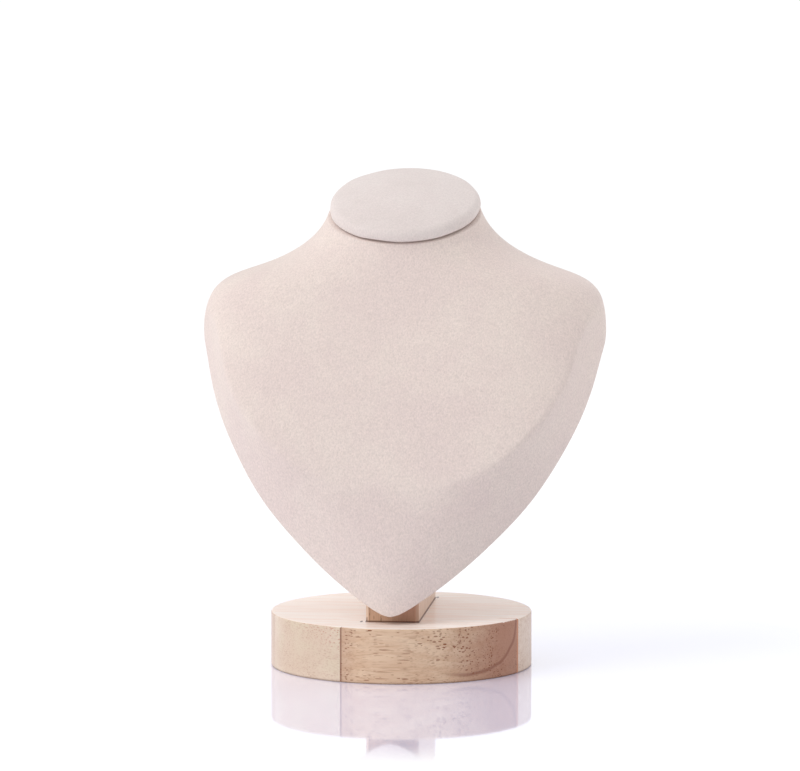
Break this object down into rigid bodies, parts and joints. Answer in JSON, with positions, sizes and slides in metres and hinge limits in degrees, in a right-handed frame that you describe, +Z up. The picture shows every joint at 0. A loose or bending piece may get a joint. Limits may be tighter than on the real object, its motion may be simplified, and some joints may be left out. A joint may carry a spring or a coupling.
{
  "type": "necklace display bust",
  "caption": "Small fabric-covered bust with a tilted neck cap, leaning back on a wooden post and a round laminated base, for showing a necklace.",
  "frame": {"origin": "centre of the base's underside", "axes": "+Z up, the chest faces -Y, +X to the right as seen from the front"},
  "size_m": [0.14, 0.09, 0.17],
  "materials": {
    "pale_wood": "fine sanded, oiled thinly",
    "tan_wood": "fine sanded, oiled thinly",
    "screw_steel": "zinc plated",
    "moulded_form": "as moulded",
    "microfibre": "short brushed nap",
    "board": "raw fibreboard",
    "pad_foam": "open-cell foam"
  },
  "bodies": {
    "root": {"base_left_block": "pale_wood", "base_front_block": "tan_wood", "base_middle_strip": "pale_wood", "base_rear_strip": "pale_wood", "post": "tan_wood", "post_screws": "screw_steel", "bust_shell": "moulded_form", "front_cover": "microfibre", "back_board": "board", "back_cover": "microfibre", "back_screws": "screw_steel", "cap_board": "board", "cap_pad": "pad_foam", "cap_cover": "microfibre"}
  },
  "joints": []
}
